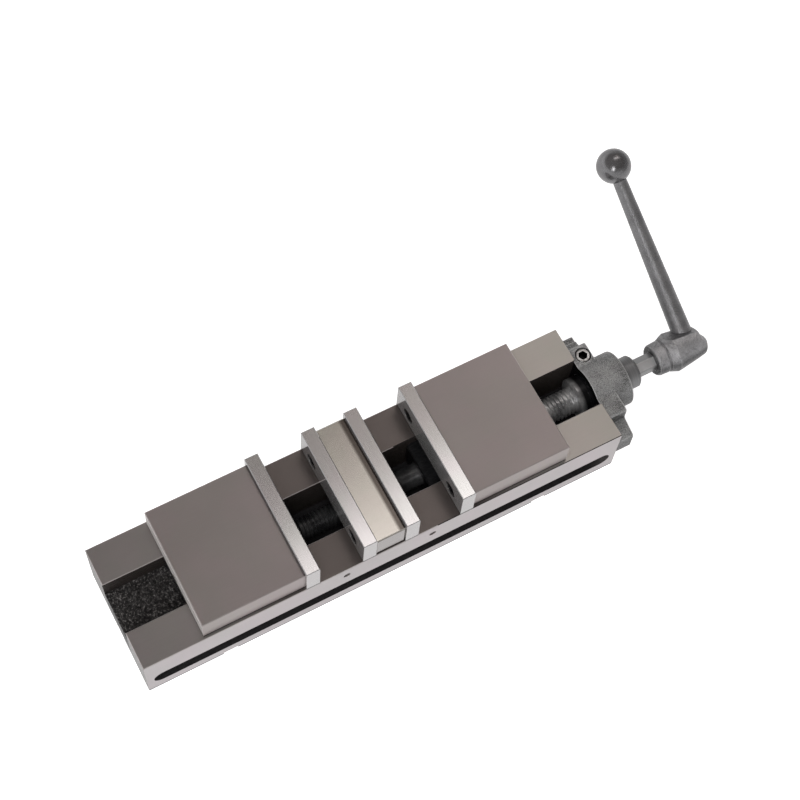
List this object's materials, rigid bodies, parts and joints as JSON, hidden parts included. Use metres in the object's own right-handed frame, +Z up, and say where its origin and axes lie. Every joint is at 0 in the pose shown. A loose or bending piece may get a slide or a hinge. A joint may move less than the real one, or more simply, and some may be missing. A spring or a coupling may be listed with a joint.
{
  "type": "double machine vise",
  "caption": "Long machine vise with a fixed jaw block between opposed sliding jaws, a left- and right-hand screw, an end bracket and a removable ball handle.",
  "frame": {"origin": "middle of the bed's ground underside", "axes": "+X along the bed towards the handle, +Y to the back of the bed, +Z up"},
  "size_m": [0.767, 0.3007, 0.1822],
  "materials": {
    "bed_iron": "ground, satin",
    "jaw_steel": "ground, satin",
    "plate_steel": "hardened and ground",
    "cast_grey": "as cast, painted grey",
    "handle_iron": "as cast, painted grey",
    "turned_steel": "turned",
    "nut_iron": "milled",
    "bright_steel": "ground",
    "bronze": "turned",
    "screw_black": "black oxide"
  },
  "bodies": {
    "frame": {"bed": "bed_iron", "centre_block": "jaw_steel", "centre_bushing": "bronze", "centre_bolts": "screw_black", "centre_dowels": "bright_steel", "centre_left_plate": "plate_steel", "centre_right_plate": "plate_steel", "centre_left_plate_screws": "screw_black", "centre_right_plate_screws": "screw_black", "screw_bracket": "cast_grey", "bracket_bolts": "screw_black", "bracket_dowels": "bright_steel", "bracket_pinch_screw": "screw_black", "bearing_sleeve": "turned_steel", "bearing_housing_washer": "bright_steel"},
    "screw": {"spindle": "turned_steel", "bearing_shaft_washer": "bright_steel", "end_thrust_washer": "bronze", "retaining_ring": "screw_black"},
    "roller_cage": {"bearing_cage": "bronze", "bearing_rollers": "bright_steel"},
    "left_jaw": {"left_jaw_body": "jaw_steel", "left_jaw_plate": "plate_steel", "left_jaw_plate_screws": "screw_black", "left_nut": "nut_iron", "left_half_ball": "bright_steel", "left_nut_lock_screw": "screw_black"},
    "right_jaw": {"right_jaw_body": "jaw_steel", "right_jaw_plate": "plate_steel", "right_jaw_plate_screws": "screw_black", "right_nut": "nut_iron", "right_half_ball": "bright_steel", "right_nut_lock_screw": "screw_black"},
    "handle": {"handle_hub": "handle_iron", "handle_lever": "handle_iron", "handle_ball": "handle_iron"}
  },
  "joints": [
    {"name": "screw_turn", "type": "hinge", "parent": "frame", "child": "screw", "pos_m": [0.33, 0, 0.053], "axis": [1, 0, 0], "range_deg": [-3837.6, 3960]},
    {"name": "right_jaw_slide", "type": "slide", "parent": "frame", "child": "right_jaw", "axis": [1, 0, 0], "range_m": [-0.05331, 0.05501]},
    {"name": "left_jaw_slide", "type": "slide", "parent": "frame", "child": "left_jaw", "axis": [-1, 0, 0], "range_m": [-0.05331, 0.05501]},
    {"name": "cage_turn", "type": "hinge", "parent": "frame", "child": "roller_cage", "pos_m": [0.3016, 0, 0.053], "axis": [1, 0, 0], "range_deg": [-1919, 1980.2]},
    {"name": "handle_pull", "type": "slide", "parent": "screw", "child": "handle", "axis": [1, 0, 0], "range_m": [0, 0.02]}
  ],
  "couplings": [
    {"joint": "right_jaw_slide", "follows": "screw_turn", "m_per_rad": 0.00079577},
    {"joint": "left_jaw_slide", "follows": "screw_turn", "m_per_rad": 0.00079577},
    {"joint": "cage_turn", "follows": "screw_turn", "ratio": 0.5}
  ]
}
